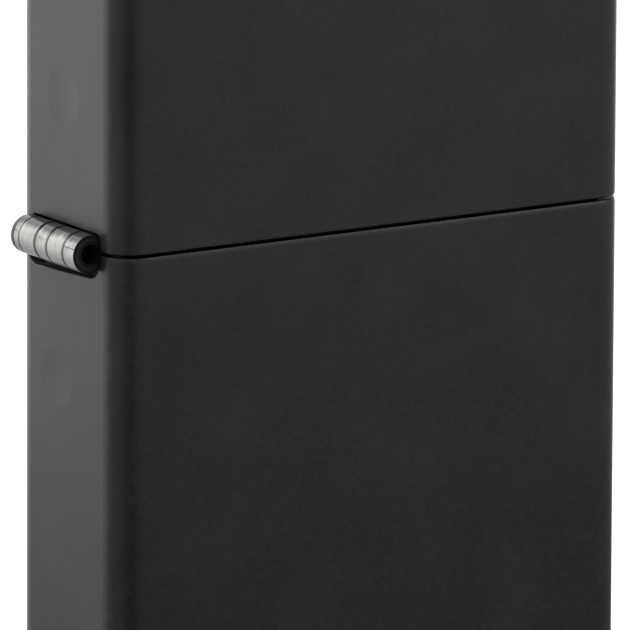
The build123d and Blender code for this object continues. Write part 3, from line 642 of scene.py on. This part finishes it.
def soft_copy(node, name, voxel, lumps, lump_size, material):
    """A soft piece made from a CAD solid: remeshed fine, then drawn in unevenly by up
    to lumps, over patches of lump_size, so that it stays within the solid."""
    block = bpy.data.objects.new(name + "_block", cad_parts[node].data.copy())
    bpy.context.scene.collection.objects.link(block)
    remesh = block.modifiers.new("remesh", "REMESH")
    remesh.mode = "VOXEL"
    remesh.voxel_size = voxel
    mesh = bpy.data.meshes.new_from_object(
        block.evaluated_get(bpy.context.evaluated_depsgraph_get())
    )
    bpy.data.objects.remove(block)
    mesh.name = name
    normals = [v.normal.copy() for v in mesh.vertices]
    for vert, normal in zip(mesh.vertices, normals):
        broad = noise.noise(vert.co / lump_size)
        fine = noise.noise(vert.co / lump_size * 3.7)
        vert.co -= normal * lumps * min(1.0, max(0.0, 0.5 + 0.5 * broad + 0.3 * fine))
    piece = add_piece(name, mesh, material, "case", node)


for number in range(1, 6):
    soft_copy(
        f"cotton_wad_{number}", f"fluffy_wad_{number}", voxel=0.45 * MM, lumps=0.7 * MM,
        lump_size=2.2 * MM, material=RAYON,
    )
soft_copy(
    "felt_pad", "felt_sheet", voxel=0.3 * MM, lumps=0.12 * MM,
    lump_size=0.8 * MM, material=FELT_MAT,
)


# ------------------------------------------------------------------ stage
# The studio: a white sweep lit from behind the lighter, a dim room in front of it that
# is brighter overhead, and a dark patch where the photographer stands.
BACK_LIGHT = 1.5
BACK_RISE = 0.6  # how much brighter the back is overhead, as a share
BACK_FROM, BACK_TO = 0.22, 0.58
FRONT_LIGHT = 0.43
OVERHEAD_LIGHT = 0.45
OVERHEAD_FROM, OVERHEAD_TO = 0.35, 0.90
DARK_SIDE = (-0.53, -0.85, 0.0)
DARK_FROM, DARK_TO = 0.90, 0.995
DARK_SHARE = 0.8


def studio(n, direction):
    """How bright the studio is in a direction, which is a unit vector's socket."""
    split = n.add("ShaderNodeSeparateXYZ")
    n.link(direction, split.inputs["Vector"])
    behind = n.ramp(split.outputs["Y"], BACK_FROM, BACK_TO)
    top_light = FRONT_LIGHT + OVERHEAD_LIGHT
    overhead = n.ramp(split.outputs["Z"], OVERHEAD_FROM, OVERHEAD_TO, FRONT_LIGHT, top_light)
    toward = n.add("ShaderNodeVectorMath", operation="DOT_PRODUCT")
    n.link(direction, toward.inputs[0])
    toward.inputs[1].default_value = DARK_SIDE
    shade = n.ramp(toward.outputs["Value"], DARK_FROM, DARK_TO, 1.0, 1.0 - DARK_SHARE)
    front = n.math("MULTIPLY", overhead, shade)
    rest = n.math("MULTIPLY", front, n.math("SUBTRACT", 1.0, behind))
    rise = n.ramp(split.outputs["Z"], 0.0, 0.5, BACK_LIGHT, BACK_LIGHT * (1 + BACK_RISE))
    return n.math("ADD", rest, n.math("MULTIPLY", behind, rise))


FLOOR_GLOW = 0.72
FLOOR_GREY = 0.55
FLOOR_HALF = 3.0  # metres
FLOOR_PAINTED_SHADOW = 0.4  # painted shadow: the floor's glow close round the lighter, as a share
FLOOR_SHADOW_FROM, FLOOR_SHADOW_TO = 0.03, 0.24  # metres from the lighter


def floor_finish():
    """The floor's finish: plain and pale, overexposed to white for the camera with the
    lighter's soft shadow on it. For the lighter it is painted light instead: a glow that
    follows the studio, dimmed close round the lighter as a painted shadow."""
    mat = bpy.data.materials.new("floor_white")
    mat.use_nodes = True
    n = Nodes(mat.node_tree)
    shader = mat.node_tree.nodes["Principled BSDF"]
    shader.inputs["Base Color"].default_value = (FLOOR_GREY,) * 3 + (1.0,)
    shader.inputs["Roughness"].default_value = 0.9
    shader.inputs["Specular IOR Level"].default_value = 0.0
    glow = n.add("ShaderNodeEmission")
    glow.inputs["Strength"].default_value = FLOOR_GLOW
    shown = n.add("ShaderNodeAddShader")
    n.link(shader.outputs["BSDF"], shown.inputs[0])
    n.link(glow.outputs["Emission"], shown.inputs[1])
    place = n.add("ShaderNodeNewGeometry").outputs["Position"]
    outward = n.add("ShaderNodeVectorMath", operation="NORMALIZE")
    n.link(place, outward.inputs[0])
    reach = n.add("ShaderNodeVectorMath", operation="LENGTH")
    n.link(place, reach.inputs[0])
    # Painted shadow: the floor's glow is dimmed close round the lighter.
    painted_shadow = n.ramp(reach.outputs["Value"], FLOOR_SHADOW_FROM, FLOOR_SHADOW_TO, FLOOR_PAINTED_SHADOW, 1.0)
    # Painted light: for all but the camera, the floor glows with the studio's brightness.
    bounce = n.add("ShaderNodeEmission")
    thrown = n.math("MULTIPLY", studio(n, outward.outputs["Vector"]), painted_shadow)
    n.link(thrown, bounce.inputs["Strength"])
    pick = n.add("ShaderNodeMixShader")
    n.link(n.add("ShaderNodeLightPath").outputs["Is Camera Ray"], pick.inputs[0])
    n.link(bounce.outputs["Emission"], pick.inputs[1])
    n.link(shown.outputs["Shader"], pick.inputs[2])
    n.link(pick.outputs["Shader"], mat.node_tree.nodes["Material Output"].inputs["Surface"])
    return mat


mesh = bpy.data.meshes.new("floor")
corners = [(-1, -1), (1, -1), (1, 1), (-1, 1)]
mesh.from_pydata(
    [(x * FLOOR_HALF, y * FLOOR_HALF, -0.02 * MM) for x, y in corners], [], [(0, 1, 2, 3)]
)
mesh.materials.append(floor_finish())
floor = bpy.data.objects.new("floor", mesh)
bpy.context.scene.collection.objects.link(floor)

world = bpy.data.worlds.new("studio")
bpy.context.scene.world = world
world.use_nodes = True
world.node_tree.nodes.clear()
n = Nodes(world.node_tree)
level = n.add("ShaderNodeMix", data_type="FLOAT")
n.link(n.add("ShaderNodeLightPath").outputs["Is Camera Ray"], level.inputs["Factor"])
n.link(studio(n, n.add("ShaderNodeTexCoord").outputs["Generated"]), level.inputs["A"])
level.inputs["B"].default_value = 1.0
background = n.add("ShaderNodeBackground")
n.link(level.outputs["Result"], background.inputs["Strength"])
output = n.add("ShaderNodeOutputWorld")
n.link(background.outputs["Background"], output.inputs["Surface"])


def softbox(name, place, target, size, power):
    """A square area light of this side in metres, aimed at a point."""
    light = bpy.data.lights.new(name, "AREA")
    light.shape = "SQUARE"
    light.size = size
    light.energy = power
    lamp = bpy.data.objects.new(name, light)
    bpy.context.scene.collection.objects.link(lamp)
    lamp.location = place
    lamp.rotation_euler = (Vector(target) - Vector(place)).to_track_quat("-Z", "Y").to_euler()


softbox("key", place=(-0.45, 0.25, 0.55), target=(0, 0, 0.035), size=0.35, power=1.2)
softbox("fill", place=(0.22, -0.22, 0.16), target=(0.01, 0, 0.04), size=0.12, power=0.12)

# ------------------------------------------------------------------ camera
# A long lens at the photograph's viewing angle: from the front left, a little above,
# close on the hinge.
AZIMUTH = radians(-32.157)
ELEVATION = radians(12.295)
ROLL = radians(0.253)
DISTANCE = 0.7927
LENS = 735.5
AIM_RIGHT = -0.479 * MM
AIM_UP = -6.45 * MM

back = Vector((sin(AZIMUTH) * cos(ELEVATION), -cos(AZIMUTH) * cos(ELEVATION), sin(ELEVATION)))
right = Vector((cos(AZIMUTH), sin(AZIMUTH), 0.0))
upward = back.cross(right)
right, upward = (
    right * cos(ROLL) + upward * sin(ROLL),
    upward * cos(ROLL) - right * sin(ROLL),
)
camera_data = bpy.data.cameras.new("camera")
camera = bpy.data.objects.new("camera", camera_data)
bpy.context.scene.collection.objects.link(camera)
place = Vector((BODY_X, 0.0, SEAM_Z)) + back * DISTANCE + right * AIM_RIGHT + upward * AIM_UP
camera.matrix_world = Matrix(
    (
        (right.x, upward.x, back.x, place.x),
        (right.y, upward.y, back.y, place.y),
        (right.z, upward.z, back.z, place.z),
        (0, 0, 0, 1),
    )
)
camera_data.sensor_width = 36.0
camera_data.lens = LENS
camera_data.clip_start = 0.05
camera_data.clip_end = 20.0
bpy.context.scene.camera = camera
bpy.context.scene.view_settings.view_transform = "Standard"
